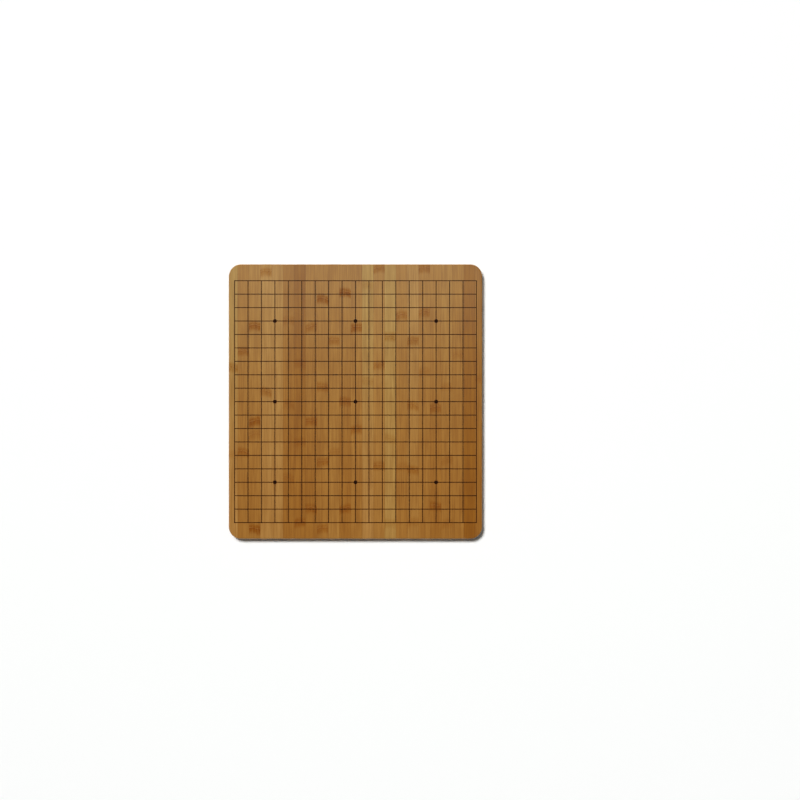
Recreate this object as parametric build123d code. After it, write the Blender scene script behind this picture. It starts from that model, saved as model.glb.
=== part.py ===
from build123d import *
import math
import os

# Flat board for the game of Go, pressed from bamboo in three crossed plies.
# The upper and lower plies are strips that run the long way of the board (Y).
# The core is slats that run the short way (X), so that the panel stays flat.
# The glued blank is cut to shape with round corners, its upper rim is rounded over,
# its lower rim is only broken by a small flat, and it is sanded flush and varnished.
# The grid and its nine star points are printed on the top in thick lacquer.
# The board lies on the XY plane, centred on the origin. Sizes are millimetres.

# Finished blank
BOARD_WIDTH = 480.0  # X, across the strips
BOARD_LENGTH = 520.0  # Y, along the strips
CORNER_RADIUS = 23.0  # corners as seen from above
TOP_EASE = 2.4  # rounding of the upper rim
BOTTOM_CHAMFER = 1.0  # flat that breaks the sharp lower rim

# Plies, from the table up
BOTTOM_PLY = 7.0
CORE_PLY = 6.0
TOP_PLY = 7.0

# Bamboo stock. The first piece of a ply is what the side cut leaves of it,
# and it differs from ply to ply, so that no two glue joints lie in line.
STRIP_WIDTH = 21.4  # upper and lower plies
SLAT_WIDTH = 21.0  # core
TOP_FIRST_STRIP = 17.1
BOTTOM_FIRST_STRIP = 12.0
FIRST_SLAT = 9.5

# Printed grid
LINES = 19  # each way
SIDE_MARGIN = 11.1  # from a long side to the middle of the outer line
END_MARGIN = 31.1  # from a short end to the middle of the outer line
LINE_WIDTH = 1.2
LACQUER = 0.2  # height that the print stands on the wood
STAR_DIAMETER = 6.8
STAR_INSET = 3  # lines between the outer line and a star point

# Derived sizes
BLANK_HEIGHT = BOTTOM_PLY + CORE_PLY + TOP_PLY
CORE_LEVEL = BOTTOM_PLY
TOP_LEVEL = BOTTOM_PLY + CORE_PLY
CELLS = LINES - 1
PITCH_X = (BOARD_WIDTH - 2 * SIDE_MARGIN) / CELLS
PITCH_Y = (BOARD_LENGTH - 2 * END_MARGIN) / CELLS
STAR_CELLS = CELLS / 2 - STAR_INSET


def finished_blank():
    """The whole glued panel, cut to its outline, its upper rim rounded and its lower rim broken."""
    outline = RectangleRounded(BOARD_WIDTH, BOARD_LENGTH, CORNER_RADIUS)
    blank = extrude(outline, BLANK_HEIGHT)
    by_height = blank.faces().sort_by(Axis.Z)
    upper_rim = by_height[-1].edges()
    blank = fillet(upper_rim, TOP_EASE)
    lower_rim = blank.faces().sort_by(Axis.Z)[0].edges()
    return chamfer(lower_rim, BOTTOM_CHAMFER)


def joints_across(span, first, stock):
    """Places of both sides of the panel and of every glue joint between them."""
    after_first = math.ceil(round((span - first) / stock, 6))
    joints = [first + stock * i for i in range(after_first)]
    return [place - span / 2 for place in [0, *joints, span]]


def lengthwise_strips(blank, first, level, ply):
    """Strips along Y, from left to right, trimmed by the finished outline."""
    joints = joints_across(BOARD_WIDTH, first, STRIP_WIDTH)
    strips = []
    for left, right in zip(joints, joints[1:]):
        stock = Box(right - left, BOARD_LENGTH, ply, align=(Align.MIN, Align.CENTER, Align.MIN))
        strips.append(blank & (Pos(left, 0, level) * stock))
    return strips


def crosswise_slats(blank):
    """Core slats along X, from front to back, trimmed by the finished outline."""
    joints = joints_across(BOARD_LENGTH, FIRST_SLAT, SLAT_WIDTH)
    slats = []
    for front, back in zip(joints, joints[1:]):
        stock = Box(BOARD_WIDTH, back - front, CORE_PLY, align=(Align.CENTER, Align.MIN, Align.MIN))
        slats.append(blank & (Pos(0, front, CORE_LEVEL) * stock))
    return slats


def star_places():
    """Where the nine star points lie, on the middle lines and near the corners."""
    return GridLocations(STAR_CELLS * PITCH_X, STAR_CELLS * PITCH_Y, 3, 3)


def printed_lines():
    """The lattice of lines in one film, open in every cell and at the star points."""
    film = Rectangle(CELLS * PITCH_X + LINE_WIDTH, CELLS * PITCH_Y + LINE_WIDTH)
    cell = Rectangle(PITCH_X - LINE_WIDTH, PITCH_Y - LINE_WIDTH)
    film -= GridLocations(PITCH_X, PITCH_Y, CELLS, CELLS) * cell
    film -= star_places() * Circle(STAR_DIAMETER / 2)
    return extrude(Pos(0, 0, BLANK_HEIGHT) * film, LACQUER)


def printed_stars():
    """Round spots of lacquer, one at each star point."""
    spot = Cylinder(STAR_DIAMETER / 2, LACQUER, align=(Align.CENTER, Align.CENTER, Align.MIN))
    return [Pos(0, 0, BLANK_HEIGHT) * place * spot for place in star_places()]


def write(name, pieces):
    """Writes one node, which holds one solid or a group of separate ones."""
    solids = [solid for piece in pieces for solid in piece.solids()]
    shape = solids[0] if len(solids) == 1 else Compound(children=solids)
    shape.label = name
    export_step(shape, f"parts/{name}.step")
    print(name, len(solids), "solids")


os.makedirs("parts", exist_ok=True)
panel = finished_blank()
for number, strip in enumerate(lengthwise_strips(panel, TOP_FIRST_STRIP, TOP_LEVEL, TOP_PLY), 1):
    write(f"top_strip_{number:02d}", [strip])
for number, strip in enumerate(lengthwise_strips(panel, BOTTOM_FIRST_STRIP, 0, BOTTOM_PLY), 1):
    write(f"bottom_strip_{number:02d}", [strip])
write("core_slats", crosswise_slats(panel))
write("grid_lines", [printed_lines()])
write("star_points", printed_stars())
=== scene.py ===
"""Dresses a Go board of laminated bamboo: two strip plies, a crossed core and a printed lacquer grid."""

import logging
import math
from dataclasses import dataclass, field
from enum import Enum
from functools import reduce
from typing import ClassVar

import bpy
import numpy as np
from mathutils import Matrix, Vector


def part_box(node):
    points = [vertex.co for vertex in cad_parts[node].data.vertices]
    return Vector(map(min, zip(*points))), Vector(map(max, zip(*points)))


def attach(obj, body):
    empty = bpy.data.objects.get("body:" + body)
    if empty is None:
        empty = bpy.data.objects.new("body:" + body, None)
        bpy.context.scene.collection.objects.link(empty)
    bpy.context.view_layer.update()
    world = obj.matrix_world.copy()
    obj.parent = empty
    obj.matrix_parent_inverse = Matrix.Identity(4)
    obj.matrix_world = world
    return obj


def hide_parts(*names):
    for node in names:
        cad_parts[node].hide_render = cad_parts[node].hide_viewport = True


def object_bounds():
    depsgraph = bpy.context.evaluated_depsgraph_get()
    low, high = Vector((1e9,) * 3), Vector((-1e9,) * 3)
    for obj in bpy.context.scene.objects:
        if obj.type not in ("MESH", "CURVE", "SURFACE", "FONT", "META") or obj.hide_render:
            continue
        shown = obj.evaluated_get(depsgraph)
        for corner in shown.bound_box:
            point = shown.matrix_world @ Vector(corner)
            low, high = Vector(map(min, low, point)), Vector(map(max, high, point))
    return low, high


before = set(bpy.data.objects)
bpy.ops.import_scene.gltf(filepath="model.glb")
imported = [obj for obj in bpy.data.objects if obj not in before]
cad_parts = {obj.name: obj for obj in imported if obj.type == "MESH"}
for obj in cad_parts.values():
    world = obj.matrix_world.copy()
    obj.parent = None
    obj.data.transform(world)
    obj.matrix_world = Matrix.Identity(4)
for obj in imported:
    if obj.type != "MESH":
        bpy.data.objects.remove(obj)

LOG = logging.getLogger("go_board")
CAD_BOX = [list(corner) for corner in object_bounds()]
BODY = "root"
SHARP_ANGLE = math.radians(55.0)  # an edge that turns by more is shaded as a sharp one
SEED_STEP = 0.37  # sets the grain of neighbouring strips and slats apart

Socket = bpy.types.NodeSocket
Feed = Socket | float | tuple[float, ...]
Colour = tuple[float, float, float, float]
Triple = tuple[float, float, float]
Band = tuple[float, float]

ORIGIN: Triple = (0.0, 0.0, 0.0)
UP: Triple = (0.0, 0.0, 1.0)
WHITE: Colour = (1.0, 1.0, 1.0, 1.0)


def srgb(red: int, green: int, blue: int) -> Colour:
    """Turns a colour as it looks on a screen into the linear one that a shader takes.

    The standard curve is a straight line near black and a power above it.

    Args:
        red: From 0 to 255.
        green: From 0 to 255.
        blue: From 0 to 255.

    Returns:
        Linear red, green and blue, and an alpha of 1.
    """
    shown = np.array([red, green, blue]) / 255.0
    straight, power = shown / 12.92, ((shown + 0.055) / 1.055) ** 2.4
    return (*np.where(shown < 0.04045, straight, power).tolist(), 1.0)


class Tone(Enum):
    """How dark the steam left a bamboo strip, as the colour of its ground."""

    INNER = srgb(212, 172, 114)
    PALEST = srgb(176, 136, 68)
    PALE = srgb(176, 130, 64)
    LIGHT = srgb(170, 122, 53)
    MID = srgb(166, 116, 46)
    DEEP = srgb(161, 109, 38)
    DARK = srgb(149, 95, 20)


class Mark(Enum):
    """How strongly a knuckle of the cane shows on a strip."""

    FAINT = 0.4
    CLEAR = 0.8
    STRONG = 1.2


class Run(Enum):
    """Which way the fibres of a ply run."""

    LENGTHWISE = (0.0, 1.0, 0.0)
    CROSSWISE = (1.0, 0.0, 0.0)


class Graph:
    """Adds nodes to one shader tree and links them."""

    finer_share: ClassVar[float] = 0.55

    def __init__(self, tree: bpy.types.NodeTree) -> None:
        """Starts on a tree."""
        self.tree = tree

    def feed(self, socket: Socket, value: Feed) -> None:
        """Links an input to an output, or sets its own value.

        Args:
            socket: The input.
            value: The output to link from, or a plain value.
        """
        if isinstance(value, bpy.types.NodeSocket):
            self.tree.links.new(value, socket)
        else:
            socket.default_value = value

    def node(self, kind: str, feeds: dict[int | str, Feed], **settings: object) -> bpy.types.Node:
        """Adds a shader node.

        Args:
            kind: Its type's name after ShaderNode.
            feeds: Inputs by name or number, with what feeds each.
            **settings: The node's own properties.

        Returns:
            The new node.
        """
        node = self.tree.nodes.new("ShaderNode" + kind)
        for name, value in settings.items():
            setattr(node, name, value)
        for key, value in feeds.items():
            self.feed(node.inputs[key], value)
        return node

    def math(self, operation: str, first: Feed, second: Feed = 0.0, third: Feed = 0.0) -> Socket:
        """Adds a Math node on up to three values and returns its result."""
        return self.node("Math", {0: first, 1: second, 2: third}, operation=operation).outputs[0]

    def times(self, *values: Feed) -> Feed:
        """Multiplies values with each other."""
        return reduce(lambda first, second: self.math("MULTIPLY", first, second), values)

    def plus(self, *values: Feed) -> Feed:
        """Adds values up."""
        return reduce(lambda first, second: self.math("ADD", first, second), values)

    def minus(self, first: Feed, second: Feed) -> Socket:
        """Takes the second value from the first."""
        return self.math("SUBTRACT", first, second)

    def vector(self, operation: str, first: Feed, second: Feed) -> bpy.types.Node:
        """Adds a Vector Math node on two vectors and returns it."""
        return self.node("VectorMath", {0: first, 1: second}, operation=operation)

    def smooth(self, value: Feed, start: float, end: float) -> Socket:
        """Rises smoothly from 0 where the value is start to 1 where it is end, which may be the lower one."""
        feeds = {0: value, 1: start, 2: end}
        return self.node("MapRange", feeds, interpolation_type="SMOOTHSTEP").outputs[0]

    def ramp(self, value: Feed, low: float, high: float, start: float = 0.0, end: float = 1.0) -> Socket:
        """Goes in a straight line from low where the value is start to high where it is end."""
        return self.node("MapRange", {0: value, 1: start, 2: end, 3: low, 4: high}).outputs[0]

    def mix(self, amount: Feed, under: Feed, over: Feed, mode: str = "MIX") -> Socket:
        """Lays one colour over another by an amount and returns the colour that results."""
        feeds = {0: amount, 6: under, 7: over}
        return self.node("Mix", feeds, data_type="RGBA", blend_type=mode).outputs[2]

    def tint(self, amount: Feed, colour: Feed, glaze: Feed) -> Socket:
        """Darkens a colour by a see-through glaze, which white would leave as it is."""
        return self.mix(amount, colour, glaze, "MULTIPLY")

    def noise(self, place: Feed, scale: Triple, detail: float = 2.0) -> Socket:
        """Adds soft noise with its own count of features a metre along each axis.

        Args:
            place: Position in metres.
            scale: Features a metre along X, Y and Z.
            detail: Finer layers on top of the first.

        Returns:
            Noise from 0 to 1, mostly near 0.5.
        """
        stretched = self.vector("MULTIPLY", place, scale).outputs[0]
        feeds = {"Vector": stretched, "Scale": 1.0, "Detail": detail, "Roughness": self.finer_share}
        return self.node("TexNoise", feeds).outputs[0]

    def parts(self, vector: Feed) -> tuple[Socket, Socket, Socket]:
        """Splits a vector into its X, Y and Z."""
        return tuple(self.node("SeparateXYZ", {0: vector}).outputs)

    def upright(self, normal: Feed) -> Socket:
        """How far a normal points up or down: 1 on a level face and 0 on a wall."""
        return self.math("ABSOLUTE", self.parts(normal)[2])

    def off_whole(self, value: Feed) -> Socket:
        """How far a value lies from the nearest whole number."""
        return self.math("ABSOLUTE", self.minus(value, self.math("ROUND", value)))


@dataclass(frozen=True)
class Port:
    """An input of an effect, with the number or the vector that it has by itself."""

    name: str
    value: float | Triple = 0.0

    @property
    def kind(self) -> str:
        """The socket type that holds such a value."""
        return "NodeSocketVector" if isinstance(self.value, tuple) else "NodeSocketFloat"


class Effect:
    """A shader node group that is built once and placed in many materials with its own values.

    In every effect a scale counts features a metre across, along and through the strip, and a band gives
    where a mask starts and where it is full.
    """

    title: ClassVar[str]
    takes: ClassVar[tuple[Port, ...]]
    gives: ClassVar[tuple[str, ...]]

    @classmethod
    def wire(cls, graph: Graph, given: dict[str, Socket]) -> dict[str, Socket]:
        """Adds the nodes inside the group.

        Args:
            graph: The group's own tree.
            given: The group's inputs by name.

        Returns:
            What each of the group's outputs is linked from.
        """
        raise NotImplementedError

    @classmethod
    def tree(cls) -> bpy.types.NodeTree:
        """Builds the group at its first use, and afterwards hands out the same one.

        Returns:
            The group's tree.
        """
        known = bpy.data.node_groups.get(cls.title)
        if known:
            return known
        tree = bpy.data.node_groups.new(cls.title, "ShaderNodeTree")
        for port in cls.takes:
            socket = tree.interface.new_socket(port.name, in_out="INPUT", socket_type=port.kind)
            socket.default_value = port.value
        for name in cls.gives:
            tree.interface.new_socket(name, in_out="OUTPUT", socket_type="NodeSocketFloat")
        entry, way_out = tree.nodes.new("NodeGroupInput"), tree.nodes.new("NodeGroupOutput")
        found = cls.wire(Graph(tree), {port.name: entry.outputs[port.name] for port in cls.takes})
        for name, socket in found.items():
            tree.links.new(socket, way_out.inputs[name])
        return tree

    @classmethod
    def place(cls, graph: Graph, feeds: dict[str, Feed]) -> dict[str, Socket]:
        """Puts the group into a material.

        Args:
            graph: The material's tree.
            feeds: The group's inputs by name, with what feeds each.

        Returns:
            The group's outputs by name.
        """
        node = graph.tree.nodes.new("ShaderNodeGroup")
        node.node_tree = cls.tree()
        for name, value in feeds.items():
            graph.feed(node.inputs[name], value)
        return {name: node.outputs[name] for name in cls.gives}


class Fibres(Effect):
    """Bamboo as a solid: fibres along Y, which show as streaks on the faces and as dots on the cut ends."""

    title = "bamboo fibres"
    takes = (Port("Grain", ORIGIN), Port("Shift"), Port("Rind", 1.0))
    gives = ("Drift", "Streak", "Bundle")
    shift_way = (1.7, 2.3, 0.9)
    drift_scale = (60.0, 16.0, 60.0)
    drift_band = (0.32, 0.68)
    streak_scale = (340.0, 8.0, 340.0)
    streak_band = (0.34, 0.68)
    bundle_scale = (880.0, 18.0, 880.0)
    bundle_band = (0.48, 0.16)
    kept_inside = 0.25
    kept_at_rind = 1.01

    @classmethod
    def wire(cls, graph: Graph, given: dict[str, Socket]) -> dict[str, Socket]:
        """Three layers of long features: slow drifts of tone, fine streaks, and bundles about 1 mm apart.

        Bundles drop out by chance, cell by cell, the further they lie from the rind of the cane.

        Args:
            graph: The group's own tree.
            given: Grain, a position in metres with the fibres along Y, Shift, which sets strips apart, and
                Rind, from 0 on the inner side of the cane's wall to 1 on its outer side.

        Returns:
            Drift, Streak and Bundle, each from 0 to 1.
        """
        apart = graph.vector("MULTIPLY", given["Shift"], cls.shift_way).outputs[0]
        place = graph.vector("ADD", given["Grain"], apart).outputs[0]
        drift = graph.smooth(graph.noise(place, cls.drift_scale), *cls.drift_band)
        streak = graph.smooth(graph.noise(place, cls.streak_scale, detail=4.0), *cls.streak_band)
        cells = graph.vector("MULTIPLY", place, cls.bundle_scale).outputs[0]
        dots = graph.node("TexVoronoi", {"Vector": cells, "Scale": 1.0})
        chance = graph.parts(dots.outputs["Color"])[0]
        kept = graph.math("LESS_THAN", chance, graph.ramp(given["Rind"], cls.kept_inside, cls.kept_at_rind))
        bundle = graph.times(graph.smooth(dots.outputs["Distance"], *cls.bundle_band), kept)
        return {"Drift": drift, "Streak": streak, "Bundle": bundle}


class Knuckle(Effect):
    """The stained band and thin scar across a strip where the cane had a node, with heights in metres."""

    title = "cane knuckle"
    takes = (
        Port("Grain", ORIGIN),
        Port("Place"),
        Port("Left"),
        Port("Width", 0.02),
        Port("Lean"),
        Port("Strength", 1.0),
    )
    gives = ("Stain", "Scar", "Lip")
    bow = 0.007
    wobble_scale = (120.0, 30.0, 120.0)
    wobble = 0.0035
    above_band = (0.0115, 0.0025)
    below_band = (-0.0135, -0.0035)
    mottle_scale = (300.0, 70.0, 300.0)
    mottle_range = (0.1, 1.3)
    fleck_scale = (850.0, 190.0, 850.0)
    fleck_band = (0.5, 0.72)
    fleck_share = 0.6
    break_scale = (400.0, 250.0, 400.0)
    break_band = (0.34, 0.6)
    scar_band = (0.0011, 0.0002)
    lip_height = 0.0017
    lip_band = (0.0012, 0.0003)

    @classmethod
    def wire(cls, graph: Graph, given: dict[str, Socket]) -> dict[str, Socket]:
        """The height above the knuckle, bent by a bow across the strip and by a wobble, fades out both ways.

        Patches and short dark flecks break the band up.

        Args:
            graph: The group's own tree.
            given: Grain, a position with the fibres along Y, then the knuckle's Place along Y, the strip's
                Left side and Width, how far the knuckle Leans across it and how Strongly it shows.

        Returns:
            Stain, a soft band about 16 mm deep, Scar, a thin broken line in it, and Lip, the pale ridge just
            above the scar, each from 0 to 1.
        """
        grain = given["Grain"]
        across, along, _ = graph.parts(grain)
        share = graph.math("DIVIDE", graph.minus(across, given["Left"]), given["Width"])
        bow = graph.times(share, graph.minus(1.0, share), -cls.bow)
        lean = graph.times(graph.minus(share, 0.5), given["Lean"])
        wobble = graph.ramp(graph.noise(grain, cls.wobble_scale, detail=1.5), -cls.wobble, cls.wobble)
        height = graph.plus(graph.minus(along, given["Place"]), bow, lean, wobble)
        fade = graph.times(graph.smooth(height, *cls.above_band), graph.smooth(height, *cls.below_band))
        mottle = graph.ramp(graph.noise(grain, cls.mottle_scale, detail=3.0), *cls.mottle_range)
        flecks = graph.smooth(graph.noise(grain, cls.fleck_scale), *cls.fleck_band)
        spotted = graph.math("MULTIPLY_ADD", flecks, cls.fleck_share, mottle)
        broken = graph.smooth(graph.noise(grain, cls.break_scale), *cls.break_band)
        shown = graph.times(broken, given["Strength"])
        scar = graph.smooth(graph.math("ABSOLUTE", height), *cls.scar_band)
        lip = graph.smooth(graph.math("ABSOLUTE", graph.minus(height, cls.lip_height)), *cls.lip_band)
        return {
            "Stain": graph.times(fade, spotted, given["Strength"]),
            "Scar": graph.times(scar, shown),
            "Lip": graph.times(lip, shown),
        }


class CutEnd(Effect):
    """Where the surface cuts across the fibres instead of running along them."""

    title = "cut fibre ends"
    takes = (Port("Normal", UP), Port("Fibre", Run.LENGTHWISE.value))
    gives = ("Cut",)
    cut_band = (0.45, 0.85)

    @classmethod
    def wire(cls, graph: Graph, given: dict[str, Socket]) -> dict[str, Socket]:
        """The share of the normal that lies along the fibres, made crisp.

        Args:
            graph: The group's own tree.
            given: The surface's Normal, and the Fibre's direction.

        Returns:
            Cut, from 0 along the fibres to 1 on a cut end.
        """
        along = graph.vector("DOT_PRODUCT", given["Normal"], given["Fibre"]).outputs["Value"]
        return {"Cut": graph.smooth(graph.math("ABSOLUTE", along), *cls.cut_band)}


class GlueJoint(Effect):
    """The hairlines of glue between the neighbours of one ply, and between that ply and the core."""

    title = "glue joint"
    takes = (Port("Across"), Port("First"), Port("Width", 0.02), Port("Level"), Port("Seam"))
    gives = ("Line", "Number")
    line_band = (0.00018, 0.00004)

    @classmethod
    def wire(cls, graph: Graph, given: dict[str, Socket]) -> dict[str, Socket]:
        """The distance to the nearest joint or to the seam, dark within a tenth of a millimetre.

        Args:
            graph: The group's own tree.
            given: The position Across the pieces, the place of the First joint, a piece's Width, the Level of
                the surface and that of the Seam between two plies.

        Returns:
            Line, which is 1 on a joint, and Number, which counts the pieces from the first joint.
        """
        count = graph.math("DIVIDE", graph.minus(given["Across"], given["First"]), given["Width"])
        beside = graph.times(graph.off_whole(count), given["Width"])
        above = graph.math("ABSOLUTE", graph.minus(given["Level"], given["Seam"]))
        line = graph.smooth(graph.math("MINIMUM", beside, above), *cls.line_band)
        return {"Line": line, "Number": graph.math("FLOOR", count)}


class InkBleed(Effect):
    """The brown halo of thin lacquer that soaked into the wood along the lines and round the star points."""

    title = "ink bleed"
    takes = (
        Port("Place", ORIGIN),
        Port("Pitch", (0.025, 0.025, 1.0)),
        Port("Reach", (0.23, 0.23, 1.0)),
        Port("Cells", 6.0),
        Port("Half Line", 0.0006),
        Port("Half Star", 0.003),
    )
    gives = ("Halo",)
    line_band = (0.0008, -0.0002)
    star_band = (0.0012, -0.0001)
    soak_scale = (700.0, 160.0, 700.0)
    soak_range = (0.3, 1.4)

    @classmethod
    def wire(cls, graph: Graph, given: dict[str, Socket]) -> dict[str, Socket]:
        """The distance to the nearest line each way and to the nearest star point, faded out and broken up.

        Args:
            graph: The group's own tree.
            given: Place, a position in metres, then the lines' Pitch, how far they Reach from the middle, the
                Cells from one star point to the next, and half the width of a line and of a star point.

        Returns:
            Halo, from 0 to 1.
        """
        pitch, reach, place = (graph.parts(given[name]) for name in ("Pitch", "Reach", "Place"))
        past = [graph.minus(graph.math("ABSOLUTE", place[axis]), reach[axis]) for axis in (0, 1)]
        outside = graph.math("MAXIMUM", *past)
        halos, aways = [], []
        for axis in (0, 1):
            step = graph.math("DIVIDE", place[axis], pitch[axis])
            past_line = graph.minus(graph.times(graph.off_whole(step), pitch[axis]), given["Half Line"])
            halos.append(graph.smooth(graph.math("MAXIMUM", past_line, outside), *cls.line_band))
            star = graph.math("DIVIDE", step, given["Cells"])
            aways.append(graph.times(graph.off_whole(star), given["Cells"], pitch[axis]))
        squares = graph.plus(*(graph.times(away, away) for away in aways))
        past_star = graph.minus(graph.math("SQRT", squares), given["Half Star"])
        halo = graph.math("MAXIMUM", graph.math("MAXIMUM", *halos), graph.smooth(past_star, *cls.star_band))
        soaked = graph.ramp(graph.noise(given["Place"], cls.soak_scale, detail=3.0), *cls.soak_range)
        return {"Halo": graph.times(halo, soaked)}


class SatinFilm(Effect):
    """Brushed satin film: patches that are duller, and a faint orange peel."""

    title = "satin film"
    takes = (Port("Place", ORIGIN), Port("Dull", 0.4), Port("Spread", 0.1))
    gives = ("Roughness", "Peel")
    patch_scale = (38.0, 16.0, 38.0)
    speck_scale = (900.0, 300.0, 900.0)
    peel_scale = (520.0, 520.0, 520.0)

    @classmethod
    def wire(cls, graph: Graph, given: dict[str, Socket]) -> dict[str, Socket]:
        """Two sizes of noise around the mean roughness, and fine noise for the relief.

        Args:
            graph: The group's own tree.
            given: Place, a position in metres, Dull, the mean roughness, and Spread, how far it varies.

        Returns:
            Roughness, and Peel, a height from 0 to 1.
        """
        patches = graph.noise(given["Place"], cls.patch_scale, detail=3.0)
        specks = graph.noise(given["Place"], cls.speck_scale, detail=1.0)
        both = graph.minus(graph.plus(patches, specks), 1.0)
        rough = graph.math("MULTIPLY_ADD", both, given["Spread"], given["Dull"])
        return {"Roughness": rough, "Peel": graph.noise(given["Place"], cls.peel_scale, detail=1.0)}


class RimRub(Effect):
    """The rub that hands leave on an eased rim."""

    title = "rim rub"
    takes = (Port("Normal", UP), Port("Place", ORIGIN))
    gives = ("Rub",)
    level_band = (0.995, 0.85)
    wall_band = (0.1, 0.4)
    patch_scale = (60.0, 60.0, 60.0)

    @classmethod
    def wire(cls, graph: Graph, given: dict[str, Socket]) -> dict[str, Socket]:
        """Strong where the normal is halfway between up and level, broken up by noise.

        Args:
            graph: The group's own tree.
            given: The surface's Normal, and its Place in metres.

        Returns:
            Rub, from 0 to 1.
        """
        up = graph.upright(given["Normal"])
        bend = graph.times(graph.smooth(up, *cls.level_band), graph.smooth(up, *cls.wall_band))
        return {"Rub": graph.times(bend, graph.noise(given["Place"], cls.patch_scale, detail=3.0))}


def new_material(name: str) -> tuple[bpy.types.Material, Graph, bpy.types.Node]:
    """Starts a node material.

    Args:
        name: The material's name.

    Returns:
        The material, its graph, and its Principled BSDF.
    """
    material = bpy.data.materials.new(name)
    material.use_nodes = True
    graph = Graph(material.node_tree)
    return material, graph, material.node_tree.nodes["Principled BSDF"]


@dataclass(frozen=True)
class Spot:
    """A knuckle on a strip: its row, counted down from the far line of the grid, and how it shows."""

    row: float
    mark: Mark = Mark.CLEAR


@dataclass(frozen=True)
class Strip:
    """What a strip of cane looks like: its tone at the far and the near end, and its knuckles."""

    far: Tone
    near: Tone
    spots: tuple[Spot, ...] = ()


@dataclass
class Layers:
    """What a finish has built up so far: its colour, the height of its relief and its share of coat."""

    colour: Socket
    relief: Socket
    coat: Socket


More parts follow.
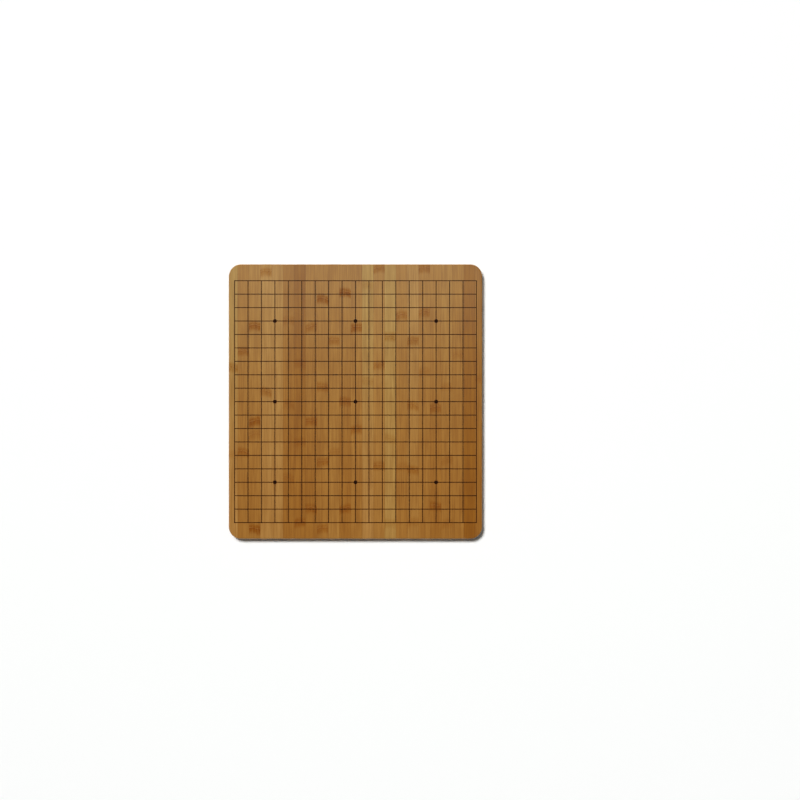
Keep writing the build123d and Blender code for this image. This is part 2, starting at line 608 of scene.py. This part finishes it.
@dataclass(frozen=True)
class Bamboo:
    """Steamed bamboo under satin varnish, made for one strip or for a whole ply of slats.

    Lengths are metres. The wall is the height of the cane's inner side, where the glue is, and of its rind.
    """

    name: str
    strip: Strip
    shift: float
    left: float
    width: float
    wall: Band
    knuckles: tuple[float, ...] = ()
    grid: "PrintedGrid | None" = None
    run: Run = Run.LENGTHWISE
    half_length: float = 0.26
    mixed: float = 0.0
    dull: float = 0.4
    end_pale: Colour = srgb(196, 155, 100)
    end_dark: Colour = srgb(134, 88, 44)

    # The same on all bamboo: glazes over the ground, and the bare wood of lips and rubbed rims
    # painted light: a faint glaze that darkens the green towards the near end, the way the sheen fades away
    # from the far end
    near_painted_shade = srgb(255, 250, 255)
    slat_glaze = srgb(226, 206, 176)
    drift_glaze = srgb(244, 238, 226)
    streak_glaze = srgb(236, 229, 217)
    bundle_glaze = srgb(212, 196, 172)
    stain_glaze = srgb(220, 188, 90)
    scar_glaze = srgb(222, 180, 120)
    end_glaze = srgb(232, 224, 214)
    ink_glaze = srgb(160, 106, 52)
    glue_glaze = srgb(160, 128, 96)
    bare_wood = srgb(182, 138, 78)

    # How much of each layer shows, and how far a knuckle leans over a strip's width
    fade_share = 0.8
    bundle_share = 0.45
    lip_share = 0.3
    scar_share = 0.8
    bare_share = 0.6
    ground_share = 0.3
    rub_share = 0.25
    lean = 0.004
    lean_paces = (5.0, 9.0)

    # Relief and gloss
    bundle_relief = 0.5
    joint_relief = -1.5
    peel_relief = 0.6
    relief_share = 0.35
    relief_depth = 0.00012
    dull_spread = 0.16
    end_dull = 0.14
    wood_gloss = 0.2
    coat_band = (-0.4, 0.9)
    coat_dull = 0.28

    def material(self) -> bpy.types.Material:
        """Lays tone, streaks, knuckles, cut ends, joints and rubbed rims over each other.

        Returns:
            The material.
        """
        material, graph, shader = new_material(self.name)
        place = graph.node("TexCoord", {}).outputs["Object"]
        normal = graph.node("NewGeometry", {}).outputs["Normal"]
        x, y, z = graph.parts(place)
        grain = place
        if self.run is Run.CROSSWISE:
            grain = graph.node("CombineXYZ", {0: y, 1: x, 2: z}).outputs[0]
        across, along, _ = graph.parts(grain)
        row = {"Across": across, "First": self.left, "Width": self.width}
        glued = GlueJoint.place(graph, {**row, "Level": z, "Seam": self.wall[0]})
        shift = graph.math("MULTIPLY_ADD", glued["Number"], SEED_STEP, self.shift)
        rind = graph.ramp(z, 0.0, 1.0, *self.wall)
        fibres = Fibres.place(graph, {"Grain": grain, "Shift": shift, "Rind": rind})
        cut = CutEnd.place(graph, {"Normal": normal, "Fibre": self.run.value})["Cut"]
        rub = RimRub.place(graph, {"Normal": normal, "Place": place})["Rub"]
        film = SatinFilm.place(graph, {"Place": place, "Dull": self.dull, "Spread": self.dull_spread})

        layers = Layers(
            self.ground(graph, along, glued["Number"], fibres),
            graph.math("MULTIPLY_ADD", fibres["Bundle"], self.bundle_relief, fibres["Streak"]),
            graph.smooth(graph.upright(normal), *self.coat_band),
        )
        self.add_knuckles(graph, grain, layers)
        end = graph.mix(fibres["Bundle"], self.end_pale, self.end_dark)
        end = graph.tint(fibres["Drift"], end, self.end_glaze)
        colour = graph.mix(cut, layers.colour, graph.mix(self.ground_share, end, layers.colour))
        colour = graph.mix(graph.times(rub, self.rub_share), colour, self.bare_wood)
        if self.grid:
            colour = graph.tint(self.halo(graph, place), colour, self.ink_glaze)
        colour = graph.tint(glued["Line"], colour, self.glue_glaze)
        relief = graph.math("MULTIPLY_ADD", glued["Line"], self.joint_relief, layers.relief)
        relief = graph.math("MULTIPLY_ADD", film["Peel"], self.peel_relief, relief)
        bump = {"Strength": self.relief_share, "Distance": self.relief_depth, "Height": relief}
        rough = graph.math("MULTIPLY_ADD", cut, self.end_dull, film["Roughness"])

        graph.feed(shader.inputs["Base Color"], colour)
        graph.feed(shader.inputs["Roughness"], rough)
        graph.feed(shader.inputs["Coat Weight"], layers.coat)
        graph.feed(shader.inputs["Normal"], graph.node("Bump", bump).outputs[0])
        shader.inputs["Specular IOR Level"].default_value = self.wood_gloss
        shader.inputs["Coat Roughness"].default_value = self.coat_dull
        return material

    def ground(self, graph: Graph, along: Socket, number: Socket, fibres: dict[str, Socket]) -> Socket:
        """Paints the plain cane: its tone from the near to the far end, with a painted shade that takes a
        little green out at the near end, then drifts, streaks and bundles.

        Args:
            graph: The material's tree.
            along: The position along the fibres.
            number: The number of the slat, each of which has a tinge of its own.
            fibres: The masks of the fibres by name.

        Returns:
            The colour.
        """
        reach = self.fade_share * self.half_length
        far = graph.smooth(along, -reach, reach)
        colour = graph.mix(far, self.strip.near.value, self.strip.far.value)
        # painted shade: less green towards the near end, so the far end reads paler as under the sheen
        colour = graph.tint(graph.minus(1.0, far), colour, self.near_painted_shade)
        tinge = graph.node("TexWhiteNoise", {"W": number}, noise_dimensions="1D").outputs["Value"]
        colour = graph.tint(graph.times(tinge, self.mixed), colour, self.slat_glaze)
        colour = graph.tint(fibres["Drift"], colour, self.drift_glaze)
        colour = graph.tint(fibres["Streak"], colour, self.streak_glaze)
        return graph.tint(graph.times(fibres["Bundle"], self.bundle_share), colour, self.bundle_glaze)

    def add_knuckles(self, graph: Graph, grain: Socket, layers: Layers) -> None:
        """Stains the colour, raises the relief and thins the coat at every knuckle of the strip.

        Args:
            graph: The material's tree.
            grain: The position, with the fibres along Y.
            layers: What is built up so far, which this changes.
        """
        along_strip, over_ply = self.lean_paces
        for number, (spot, place) in enumerate(zip(self.strip.spots, self.knuckles)):
            lean = self.lean * math.sin(along_strip * number + over_ply * self.shift)
            feeds = {"Grain": grain, "Place": place, "Left": self.left, "Width": self.width, "Lean": lean}
            knuckle = Knuckle.place(graph, {**feeds, "Strength": spot.mark.value})
            colour = graph.tint(knuckle["Stain"], layers.colour, self.stain_glaze)
            colour = graph.mix(graph.times(knuckle["Lip"], self.lip_share), colour, self.bare_wood)
            scar = graph.times(knuckle["Scar"], self.scar_share)
            layers.colour = graph.tint(scar, colour, self.scar_glaze)
            layers.relief = graph.minus(graph.plus(layers.relief, knuckle["Lip"]), knuckle["Scar"])
            bare = graph.times(graph.math("MINIMUM", knuckle["Stain"], 1.0), self.bare_share)
            layers.coat = graph.times(layers.coat, graph.minus(1.0, bare))

    def halo(self, graph: Graph, place: Socket) -> Socket:
        """Soaks the wood along the print.

        Args:
            graph: The material's tree.
            place: The position on the board.

        Returns:
            How far the wood is soaked, from 0 to 1.
        """
        feeds = {
            "Place": place,
            "Pitch": (*self.grid.pitch, 1.0),
            "Reach": (*self.grid.reach / 2, 1.0),
            "Cells": self.grid.star_cells,
            "Half Line": self.grid.line_width / 2,
            "Half Star": self.grid.star_diameter / 2,
        }
        return InkBleed.place(graph, feeds)["Halo"]


@dataclass(frozen=True)
class Lacquer:
    """Thick dark printing lacquer that has levelled out by itself."""

    name: str = "lacquer_print"
    full: Colour = srgb(30, 13, 5)
    thin: Colour = srgb(46, 22, 10)
    thin_scale: Triple = (140.0, 140.0, 140.0)
    thin_band: Band = (0.5, 0.75)
    dull: float = 0.45
    dull_spread: float = 0.2
    gloss: float = 0.08
    relief_share: float = 0.3
    relief_depth: float = 0.00005

    def material(self) -> bpy.types.Material:
        """Lays thin brown patches into the dark film.

        Returns:
            The material.
        """
        material, graph, shader = new_material(self.name)
        place = graph.node("TexCoord", {}).outputs["Object"]
        film = SatinFilm.place(graph, {"Place": place, "Dull": self.dull, "Spread": self.dull_spread})
        worn = graph.smooth(graph.noise(place, self.thin_scale, detail=4.0), *self.thin_band)
        bump = {"Strength": self.relief_share, "Distance": self.relief_depth, "Height": film["Peel"]}
        graph.feed(shader.inputs["Base Color"], graph.mix(worn, self.full, self.thin))
        graph.feed(shader.inputs["Roughness"], film["Roughness"])
        graph.feed(shader.inputs["Normal"], graph.node("Bump", bump).outputs[0])
        shader.inputs["Specular IOR Level"].default_value = self.gloss
        return material


def dress(node: str, material: bpy.types.Material) -> None:
    """Gives a node of the frame its finish on every slot.

    Args:
        node: The node's name.
        material: The finish.
    """
    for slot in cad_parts[node].material_slots:
        slot.material = material


@dataclass(frozen=True)
class Surface:
    """A mesh in whole arrays: points in metres, one a row, and one array of faces for each count of corners.

    A face is its points' numbers, counted the way round that points outwards.
    """

    points: np.ndarray
    faces: tuple[np.ndarray, ...]

    def turned(self) -> "Surface":
        """The same surface a quarter turn about Z, so that what ran along Y runs along X."""
        x, y, z = self.points.T
        return Surface(np.stack([-y, x, z], axis=-1), self.faces)

    def copies(self, places: np.ndarray) -> "Surface":
        """Repeats the surface: each copy's points are moved, and its faces count on from the last copy's.

        Args:
            places: How far each copy is moved, one a row.

        Returns:
            All the copies in one.
        """
        points = (self.points[None, :, :] + places[:, None, :]).reshape(-1, 3)
        first = np.arange(len(places))[:, None, None] * len(self.points)
        return Surface(points, tuple((group + first).reshape(-1, group.shape[1]) for group in self.faces))

    def joined(self, other: "Surface") -> "Surface":
        """Takes in another surface with the same kinds of faces.

        Args:
            other: The other one.

        Returns:
            Both in one.
        """
        pairs = zip(self.faces, other.faces)
        faces = tuple(np.vstack([mine, theirs + len(self.points)]) for mine, theirs in pairs)
        return Surface(np.vstack([self.points, other.points]), faces)

    def piece(self, name: str, material: bpy.types.Material) -> bpy.types.Object:
        """Makes a piece with its place in its mesh and its object at the origin.

        Args:
            name: The piece's name.
            material: Its finish.

        Returns:
            The piece, which rides on the board.
        """
        mesh = bpy.data.meshes.new(name)
        mesh.from_pydata(self.points.tolist(), [], sum((group.tolist() for group in self.faces), []))
        mesh.polygons.foreach_set("use_smooth", np.ones(len(mesh.polygons), dtype=bool))
        mesh.set_sharp_from_angle(angle=SHARP_ANGLE)
        mesh.materials.append(material)
        piece = bpy.data.objects.new(name, mesh)
        bpy.context.scene.collection.objects.link(piece)
        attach(piece, BODY)
        return piece


def ring_quads(rings: int, around: int) -> np.ndarray:
    """Joins each ring of points to the next one with quads: ring j, point i, counts as j times around plus i.

    Args:
        rings: How many rings there are.
        around: How many points each has.

    Returns:
        The quads, one a row.
    """
    j, i = np.meshgrid(np.arange(rings - 1), np.arange(around), indexing="ij")
    after = (i + 1) % around
    below, above = j * around, (j + 1) * around
    return np.stack([below + i, below + after, above + after, above + i], axis=-1).reshape(-1, 4)


@dataclass
class PrintedGrid:
    """Lines and star points of lacquer that stand a little on the wood, with rounded shoulders."""

    lines: int = 19
    line_width: float = 0.0012
    star_diameter: float = 0.0068
    star_inset: int = 3
    shoulder_points: int = 9
    tip_angle: float = 0.2
    tip_stations: int = 4
    star_rings: tuple[float, ...] = (1.0, 0.94, 0.82, 0.6, 0.3)
    star_sides: int = 48
    level: float = field(init=False)
    height: float = field(init=False)
    reach: np.ndarray = field(init=False)
    pitch: np.ndarray = field(init=False)

    def __post_init__(self) -> None:
        """Takes the level, the film's height and the grid's reach from the frame."""
        low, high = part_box("grid_lines")
        self.level, self.height = low.z, high.z - low.z
        self.reach = np.array([high.x - low.x, high.y - low.y])
        self.pitch = (self.reach - self.line_width) / (self.lines - 1)

    @property
    def star_cells(self) -> float:
        """The cells from one star point to the next."""
        return (self.lines - 1) / 2 - self.star_inset

    def row(self, number: float) -> float:
        """How far along the board a row lies, counted down from the far line."""
        return float(self.pitch[1]) * ((self.lines - 1) / 2 - number)

    def bar(self, length: float) -> Surface:
        """One line along Y: a low dome, 1 minus the fourth power of the way out, carried along the length.

        Towards each end the dome shrinks by the sine of an angle while the path advances by its cosine, so
        the line ends round.

        Args:
            length: The line's length.

        Returns:
            The line around the origin.
        """
        out = np.linspace(-1.0, 1.0, self.shoulder_points)
        turn = np.linspace(self.tip_angle, np.pi / 2, self.tip_stations)
        half = self.line_width / 2
        near_end = -length / 2 + half * (1.0 - np.cos(np.pi / 2 - turn))
        stations = np.concatenate([near_end, -near_end[::-1]])
        shrink = np.concatenate([np.sin(turn), np.sin(turn)[::-1]])[:, None]
        x = half * shrink * out
        y = np.broadcast_to(stations[:, None], x.shape)
        z = self.level + self.height * shrink * (1.0 - out**4)
        ring = np.arange(self.shoulder_points)
        caps = np.stack([ring[::-1], ring + (len(stations) - 1) * len(ring)])
        points = np.stack([x, y, z], axis=-1).reshape(-1, 3)
        return Surface(points, (ring_quads(len(stations), len(ring)), caps))

    def star(self) -> Surface:
        """One star point: the same dome turned about its middle, closed by a flat base.

        Returns:
            The star point around the origin.
        """
        out = np.array(self.star_rings)[:, None]
        angle = np.linspace(0.0, 2 * np.pi, self.star_sides, endpoint=False)
        radius = out * self.star_diameter / 2
        x, y = radius * np.cos(angle), radius * np.sin(angle)
        z = np.broadcast_to(self.level + self.height * (1.0 - out**4), x.shape)
        rings = np.stack([x, y, z], axis=-1).reshape(-1, 3)
        poles = np.array([[0.0, 0.0, self.level], [0.0, 0.0, self.level + self.height]])
        edge = np.arange(self.star_sides)
        inner = edge + (len(out) - 1) * self.star_sides
        base, top = np.full(self.star_sides, len(rings)), np.full(self.star_sides, len(rings) + 1)
        floor = np.stack([np.roll(edge, -1), edge, base], axis=-1)
        crown = np.stack([inner, np.roll(inner, -1), top], axis=-1)
        quads = ring_quads(len(out), self.star_sides)
        return Surface(np.vstack([rings, poles]), (quads, np.vstack([floor, crown])))

    def build(self) -> None:
        """Prints the lines and the star points in place of the plain ones."""
        lacquer = Lacquer().material()
        step = np.arange(self.lines) - (self.lines - 1) / 2
        none = np.zeros_like(step)
        lengthwise = self.bar(self.reach[1]).copies(np.stack([step * self.pitch[0], none, none], axis=-1))
        crossing = self.bar(self.reach[0]).turned()
        crosswise = crossing.copies(np.stack([none, step * self.pitch[1], none], axis=-1))
        lattice = lengthwise.joined(crosswise).piece("lacquer_lines", lacquer)
        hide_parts("grid_lines")
        LOG.info("lacquer_lines: %d each way", self.lines)

        off = np.array([-1.0, 0.0, 1.0]) * self.star_cells
        x, y = np.meshgrid(off * self.pitch[0], off * self.pitch[1])
        places = np.stack([x.ravel(), y.ravel(), np.zeros(x.size)], axis=-1)
        stars = self.star().copies(places).piece("lacquer_stars", lacquer)
        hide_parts("star_points")
        LOG.info("lacquer_stars: %d", x.size)


@dataclass
class StripPly:
    """A ply of lengthwise strips side by side, each in its own finish. The upper ply bears the print."""

    prefix: str
    strips: tuple[Strip, ...]
    grid: PrintedGrid
    upper: bool
    shift: float
    dull: float
    trimmed: float = 0.02

    def dress(self) -> None:
        """Finishes every strip, with joints only where it has a neighbour.

        An outer strip is taken for wider than it is, so that its trimmed side has no joint.
        """
        last = len(self.strips) - 1
        printed = self.grid if self.upper else None
        for number, strip in enumerate(self.strips):
            node = f"{self.prefix}_{number + 1:02d}"
            low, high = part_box(node)
            left = low.x - (self.trimmed if number == 0 else 0.0)
            right = high.x + (self.trimmed if number == last else 0.0)
            wall = (low.z, high.z) if self.upper else (high.z, low.z)
            knuckles = tuple(self.grid.row(spot.row) for spot in strip.spots)
            seed = self.shift + SEED_STEP * number
            finish = Bamboo(node, strip, seed, left, right - left, wall, knuckles, printed, dull=self.dull)
            dress(node, finish.material())
            LOG.info("%s: %s to %s, knuckles %d", node, strip.far.name, strip.near.name, len(knuckles))


@dataclass
class CorePly:
    """The crosswise slats inside, whose sides and ends show on the rim."""

    node: str = "core_slats"
    shift: float = 31.0
    first_slat: float = 0.0095
    slat_width: float = 0.021
    mixed: float = 0.8
    end_pale: Colour = srgb(172, 124, 66)
    end_dark: Colour = srgb(124, 80, 38)

    def dress(self) -> None:
        """Finishes the slats in the paler tone of inner cane, each a little different."""
        low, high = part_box(self.node)
        finish = Bamboo(
            self.node,
            Strip(Tone.INNER, Tone.INNER),
            self.shift,
            low.y + self.first_slat,
            self.slat_width,
            (low.z, high.z),
            run=Run.CROSSWISE,
            half_length=high.x,
            mixed=self.mixed,
            end_pale=self.end_pale,
            end_dark=self.end_dark,
        )
        dress(self.node, finish.material())
        LOG.info("%s: crosswise", self.node)


@dataclass
class Studio:
    """White table, lamps and the camera straight above the board.

    The photograph's frame is in pixels, lengths are metres, lens and sensor are millimetres, and the wall is
    where a gloss sees the room: on one side, from the floor up to a height, at a share of its white.
    """

    picture: int = 800
    board_pixels: float = 253.6
    board_centre: tuple[float, float] = (355.5, 401.65)
    lens: float = 100.0
    sensor: float = 36.0
    farthest: float = 100.0
    table_half: float = 40.0
    table_white: Colour = (0.95, 0.95, 0.95, 1.0)
    table_glow: float = 0.02
    sun_place: Triple = (-0.28, 0.39, 1.0)
    sun: float = 3.11
    sun_angle: float = math.radians(16.0)
    sky: float = 0.06
    wall_side: Triple = (-0.58, 0.81, 0.0)
    wall_band: Band = (-0.4, 0.3)
    wall_top: Band = (0.8, 0.45)
    wall_share: float = 0.5
    panel_centre: Triple = (-0.05, 0.65, 2.7)
    panel_size: tuple[float, float] = (1.6, 0.66)
    panel_power: float = 8.4
    panel_colour: Triple = (0.86, 1.0, 0.86)

    def table(self) -> None:
        """Lays a white table that shows white to the eye and keeps the board's shadow."""
        corners = np.array([[-1.0, -1.0, 0.0], [1.0, -1.0, 0.0], [1.0, 1.0, 0.0], [-1.0, 1.0, 0.0]])
        mesh = bpy.data.meshes.new("table")
        mesh.from_pydata((corners * self.table_half).tolist(), [], [[0, 1, 2, 3]])
        material, graph, _ = new_material("table_white")
        graph.tree.nodes.clear()
        matte = graph.node("BsdfDiffuse", {"Color": self.table_white})
        strength = graph.times(self.seen(graph), self.table_glow)
        glow = graph.node("Emission", {"Color": WHITE, "Strength": strength})
        both = graph.node("AddShader", {0: matte.outputs[0], 1: glow.outputs[0]})
        graph.node("OutputMaterial", {"Surface": both.outputs[0]})
        mesh.materials.append(material)
        table = bpy.data.objects.new("table", mesh)
        bpy.context.scene.collection.objects.link(table)

    @staticmethod
    def seen(graph: Graph, mirrored: Feed = 1.0) -> Socket:
        """Picks out the rays that see a thing from those that carry light.

        Args:
            graph: The tree to add to.
            mirrored: How much of it shows in a gloss or through a glass.

        Returns:
            1 on rays of the eye, the share given on those off a gloss or through a glass, and otherwise 0.
        """
        path = graph.node("LightPath", {}).outputs
        image = graph.times(graph.plus(path["Is Glossy Ray"], path["Is Transmission Ray"]), mirrored)
        return graph.math("MINIMUM", graph.plus(path["Is Camera Ray"], image), 1.0)

    def world(self) -> None:
        """Fills the room with even light, which the eye sees as white and a gloss as the sunny wall."""
        world = bpy.data.worlds.new("room")
        world.use_nodes = True
        graph = Graph(world.node_tree)
        ray = graph.node("TexCoord", {}).outputs["Generated"]
        side = graph.vector("DOT_PRODUCT", ray, self.wall_side).outputs["Value"]
        top = graph.smooth(graph.parts(ray)[2], *self.wall_top)
        wall = graph.times(top, graph.smooth(side, *self.wall_band), self.wall_share)
        background = world.node_tree.nodes["Background"].inputs
        graph.feed(background["Strength"], graph.ramp(self.seen(graph, wall), self.sky, 1.0))
        background["Color"].default_value = WHITE
        bpy.context.scene.world = world

    def lamps(self) -> None:
        """Hangs a sun at the upper left, and a panel over the far side whose sheen pales the varnish."""
        sun = bpy.data.lights.new("sun", "SUN")
        sun.energy, sun.angle = self.sun, self.sun_angle
        lamp = bpy.data.objects.new("sun", sun)
        lamp.rotation_euler = (-Vector(self.sun_place)).to_track_quat("-Z", "Y").to_euler()
        lamp.visible_glossy = False
        bpy.context.scene.collection.objects.link(lamp)
        panel = bpy.data.lights.new("panel", "AREA")
        panel.shape, panel.energy, panel.color = "RECTANGLE", self.panel_power, self.panel_colour
        panel.size, panel.size_y = self.panel_size
        lamp = bpy.data.objects.new("panel", panel)
        lamp.location = self.panel_centre
        lamp.visible_camera = False
        bpy.context.scene.collection.objects.link(lamp)

    def camera(self) -> None:
        """Looks straight down from where the board has the photograph's size and place in the picture."""
        low, high = CAD_BOX
        metres = (high[0] - low[0]) / self.board_pixels
        data = bpy.data.cameras.new("camera")
        data.lens, data.sensor_width, data.clip_end = self.lens, self.sensor, self.farthest
        away = self.picture * metres * self.lens / self.sensor
        right, down = (place - self.picture / 2 for place in self.board_centre)
        camera = bpy.data.objects.new("camera", data)
        camera.location = (-right * metres, down * metres, high[2] + away)
        bpy.context.scene.collection.objects.link(camera)
        bpy.context.scene.camera = camera

    def build(self) -> None:
        """Sets up table, room, lamps, camera and plain colours."""
        self.table()
        self.world()
        self.lamps()
        self.camera()
        bpy.context.scene.view_settings.view_transform = "Standard"
        LOG.info("studio: table, sun, panel and camera")


_, PALEST, PALE, LIGHT, MID, DEEP, DARK = Tone
FAINT, CLEAR, STRONG = Mark

# The upper ply from left to right
TOP_STRIPS = (
    Strip(PALEST, PALE, (Spot(6.5), Spot(13.0, FAINT))),
    Strip(MID, MID, (Spot(5.3), Spot(12.8))),
    Strip(LIGHT, MID, (Spot(3.4, STRONG), Spot(10.5, STRONG), Spot(11.5, FAINT), Spot(18.5, STRONG))),
    Strip(PALE, PALE, (Spot(-0.6), Spot(8.3))),
    Strip(PALE, PALE),
    Strip(DEEP, DEEP, (Spot(3.0, FAINT), Spot(9.2, FAINT), Spot(14.7, FAINT))),
    Strip(DARK, DEEP, (Spot(6.2, FAINT), Spot(12.0, FAINT), Spot(18.0))),
    Strip(MID, DEEP, (Spot(3.5), Spot(10.5), Spot(17.0))),
    Strip(MID, MID, (Spot(1.4, STRONG), Spot(7.9), Spot(13.5), Spot(18.5))),
    Strip(MID, LIGHT, (Spot(4.5), Spot(12.8, FAINT))),
    Strip(MID, DEEP, (Spot(0.9, STRONG), Spot(9.0), Spot(17.0))),
    Strip(MID, MID, (Spot(3.5, STRONG), Spot(11.1))),
    Strip(PALEST, PALE, (Spot(0.3, FAINT), Spot(7.5, FAINT))),
    Strip(LIGHT, LIGHT, (Spot(-0.9), Spot(6.3), Spot(13.8))),
    Strip(PALEST, PALEST, (Spot(4.2), Spot(11.8, FAINT), Spot(18.1, FAINT))),
    Strip(MID, MID, (Spot(2.6), Spot(13.9, FAINT))),
    Strip(PALE, LIGHT, (Spot(4.5), Spot(9.3), Spot(14.1), Spot(18.0, FAINT))),
    Strip(MID, MID, (Spot(-0.9), Spot(2.4), Spot(6.8, FAINT))),
    Strip(MID, DEEP, (Spot(9.5), Spot(16.8))),
    Strip(LIGHT, MID, (Spot(7.9, FAINT), Spot(13.4, FAINT), Spot(18.1, FAINT))),
    Strip(MID, MID, (Spot(5.5, FAINT),)),
    Strip(DARK, DARK),
    Strip(DEEP, DEEP, (Spot(7.3, FAINT),)),
)


@dataclass(frozen=True)
class LooseLayout:
    """An underside with the tones in a loose order and up to three knuckles on a strip, in rows of the grid.

    The scatter says how far the first knuckle strays and how fast that changes over the ply. A wave says the
    same for a knuckle after the number of rows that it lies further on.
    """

    count: int = 23
    tones: tuple[Tone, ...] = (MID, LIGHT, DEEP, MID, PALE, MID, LIGHT)
    tone_step: int = 3
    marks: tuple[Mark, ...] = (FAINT, CLEAR, CLEAR)
    first_row: float = -0.9
    last_row: float = 19.0
    spread: float = 7.4
    stagger: float = 0.43
    scatter: Band = (0.31, 7.0)
    waves: tuple[Triple, ...] = ((0.0, 0.0, 0.0), (6.9, 1.2, 2.3), (14.3, 1.4, 4.1))

    def strip(self, number: int) -> Strip:
        """Lays out one strip.

        Args:
            number: Its number, from 0 at the left.

        Returns:
            The strip, with the knuckles that fall on the board.
        """
        amount, rate = self.scatter
        share = (number * self.stagger + amount * math.sin(rate * number)) % 1.0
        first = self.first_row + self.spread * share
        rows = [first + on + stray * math.sin(pace * number) for on, stray, pace in self.waves]
        marks = [self.marks[(number + turn) % len(self.marks)] for turn in range(len(rows))]
        spots = tuple(Spot(row, mark) for row, mark in zip(rows, marks) if row < self.last_row)
        start = number * self.tone_step
        tones = [self.tones[turn % len(self.tones)] for turn in (start, start + number % 2)]
        return Strip(*tones, spots)

    def strips(self) -> tuple[Strip, ...]:
        """All the strips from left to right."""
        return tuple(self.strip(number) for number in range(self.count))


def main() -> None:
    """Dresses the plies, prints the grid, sets up the studio and notes the sizes."""
    logging.basicConfig(level=logging.INFO, format="%(name)s %(message)s")
    grid = PrintedGrid()
    StripPly("top_strip", TOP_STRIPS, grid, upper=True, shift=0.0, dull=0.4).dress()
    StripPly("bottom_strip", LooseLayout().strips(), grid, upper=False, shift=13.0, dull=0.52).dress()
    CorePly().dress()
    grid.build()
    Studio().build()


if __name__ == "__main__":
    main()
